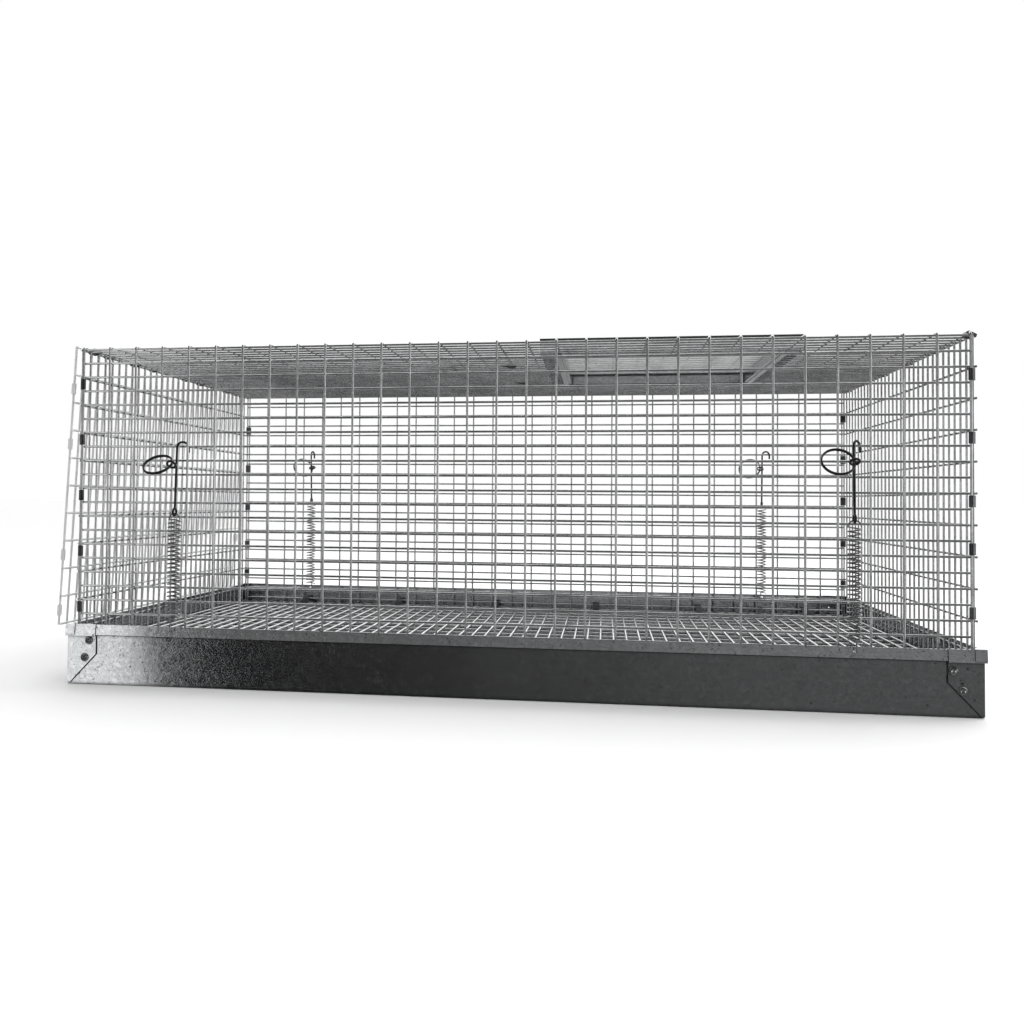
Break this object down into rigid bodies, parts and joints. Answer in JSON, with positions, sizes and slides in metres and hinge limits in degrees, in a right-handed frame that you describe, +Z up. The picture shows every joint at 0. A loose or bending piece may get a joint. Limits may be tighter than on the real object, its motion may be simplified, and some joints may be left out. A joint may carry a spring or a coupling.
{
  "type": "kennel cage",
  "caption": "Low rectangular welded-wire animal cage standing in a shallow sheet-metal pan, with a framed roof hatch, wire carry handle and spring tie-downs.",
  "frame": {"origin": "centre of the pan's footprint, on the face it stands on", "axes": "+Z up, +X along the long side to the right seen from the front, the front wall faces -Y"},
  "size_m": [0.7936, 0.4411, 0.3206],
  "materials": {
    "galvanised_sheet": "hot-dip galvanised sheet, dull grey with a fine speckled spangle",
    "galvanised_wire": "galvanised welded wire, satin, slightly lumpy zinc",
    "clip_steel": "crimped galvanised sheet clips, dull",
    "rivet_steel": "zinc-plated blind rivets",
    "spring_steel": "zinc-plated spring wire",
    "dark_wire": "dark oiled steel wire",
    "handle_wire": "bent steel rod, dark zinc"
  },
  "bodies": {
    "pan": {"pan_shell": "galvanised_sheet", "corner_rivets": "rivet_steel", "spring_front_left": "spring_steel", "spring_front_right": "spring_steel", "spring_back_left": "spring_steel", "spring_back_right": "spring_steel"},
    "cage": {"front_mesh": "galvanised_wire", "back_mesh": "galvanised_wire", "roof_mesh": "galvanised_wire", "left_end_mesh": "galvanised_wire", "right_end_mesh": "galvanised_wire", "floor_mesh": "galvanised_wire", "corner_clips": "clip_steel", "roof_edge_clips": "clip_steel", "floor_clips": "clip_steel", "door_collar": "galvanised_sheet", "hinge_pin": "dark_wire", "hinge_straps": "galvanised_sheet", "flap_hinge_clips": "clip_steel"},
    "lid": {"door_frame": "galvanised_sheet", "door_mesh": "galvanised_wire", "latch_stud": "rivet_steel"},
    "latch": {"latch_hook": "galvanised_sheet"},
    "handle": {"carry_handle": "handle_wire"},
    "flap": {"end_flap": "galvanised_wire", "flap_edge_clips": "clip_steel"},
    "rod_front_left": {"pull_rod_front_left": "dark_wire"},
    "ring_front_left": {"pull_ring_front_left": "dark_wire"},
    "rod_front_right": {"pull_rod_front_right": "dark_wire"},
    "ring_front_right": {"pull_ring_front_right": "dark_wire"},
    "rod_back_left": {"pull_rod_back_left": "dark_wire"},
    "ring_back_left": {"pull_ring_back_left": "dark_wire"},
    "rod_back_right": {"pull_rod_back_right": "dark_wire"},
    "ring_back_right": {"pull_ring_back_right": "dark_wire"}
  },
  "joints": [
    {"name": "cage_lift", "type": "slide", "parent": "pan", "child": "cage", "axis": [0, 0, 1], "range_m": [0, 0.06], "deforming": ["spring_front_left", "spring_front_right", "spring_back_left", "spring_back_right"]},
    {"name": "lid_hinge", "type": "hinge", "parent": "cage", "child": "lid", "pos_m": [0.15, 0.09525, 0.311], "axis": [-1, 0, 0], "range_deg": [0, 110]},
    {"name": "latch_pivot", "type": "hinge", "parent": "lid", "child": "latch", "pos_m": [0.0584, -0.13987, 0.3117], "axis": [0, 1, 0], "range_deg": [0, 45]},
    {"name": "handle_pivot", "type": "hinge", "parent": "cage", "child": "handle", "pos_m": [0, 0, 0.30502], "axis": [0, 1, 0], "range_deg": [0, 100]},
    {"name": "flap_hinge", "type": "hinge", "parent": "cage", "child": "flap", "pos_m": [-0.3877, 0, 0.3052], "axis": [0, 1, 0], "range_deg": [0, 105]},
    {"name": "rod_lift_front_left", "type": "slide", "parent": "cage", "child": "rod_front_left", "axis": [0, 0, 1], "range_m": [0, 0.0062], "deforming": ["spring_front_left"]},
    {"name": "ring_swing_front_left", "type": "hinge", "parent": "rod_front_left", "child": "ring_front_left", "pos_m": [-0.2886, -0.21142, 0.19725], "axis": [1, 0, 0], "range_deg": [0, 25]},
    {"name": "rod_lift_front_right", "type": "slide", "parent": "cage", "child": "rod_front_right", "axis": [0, 0, 1], "range_m": [0, 0.0062], "deforming": ["spring_front_right"]},
    {"name": "ring_swing_front_right", "type": "hinge", "parent": "rod_front_right", "child": "ring_front_right", "pos_m": [0.2894, -0.21124, 0.20054], "axis": [1, 0, 0], "range_deg": [0, 25]},
    {"name": "rod_lift_back_left", "type": "slide", "parent": "cage", "child": "rod_back_left", "axis": [0, 0, 1], "range_m": [0, 0.0062], "deforming": ["spring_back_left"]},
    {"name": "ring_swing_back_left", "type": "hinge", "parent": "rod_back_left", "child": "ring_back_left", "pos_m": [-0.2972, 0.2113, 0.20984], "axis": [-1, 0, 0], "range_deg": [0, 25]},
    {"name": "rod_lift_back_right", "type": "slide", "parent": "cage", "child": "rod_back_right", "axis": [0, 0, 1], "range_m": [0, 0.0062], "deforming": ["spring_back_right"]},
    {"name": "ring_swing_back_right", "type": "hinge", "parent": "rod_back_right", "child": "ring_back_right", "pos_m": [0.2858, 0.2113, 0.20984], "axis": [-1, 0, 0], "range_deg": [0, 25]}
  ]
}
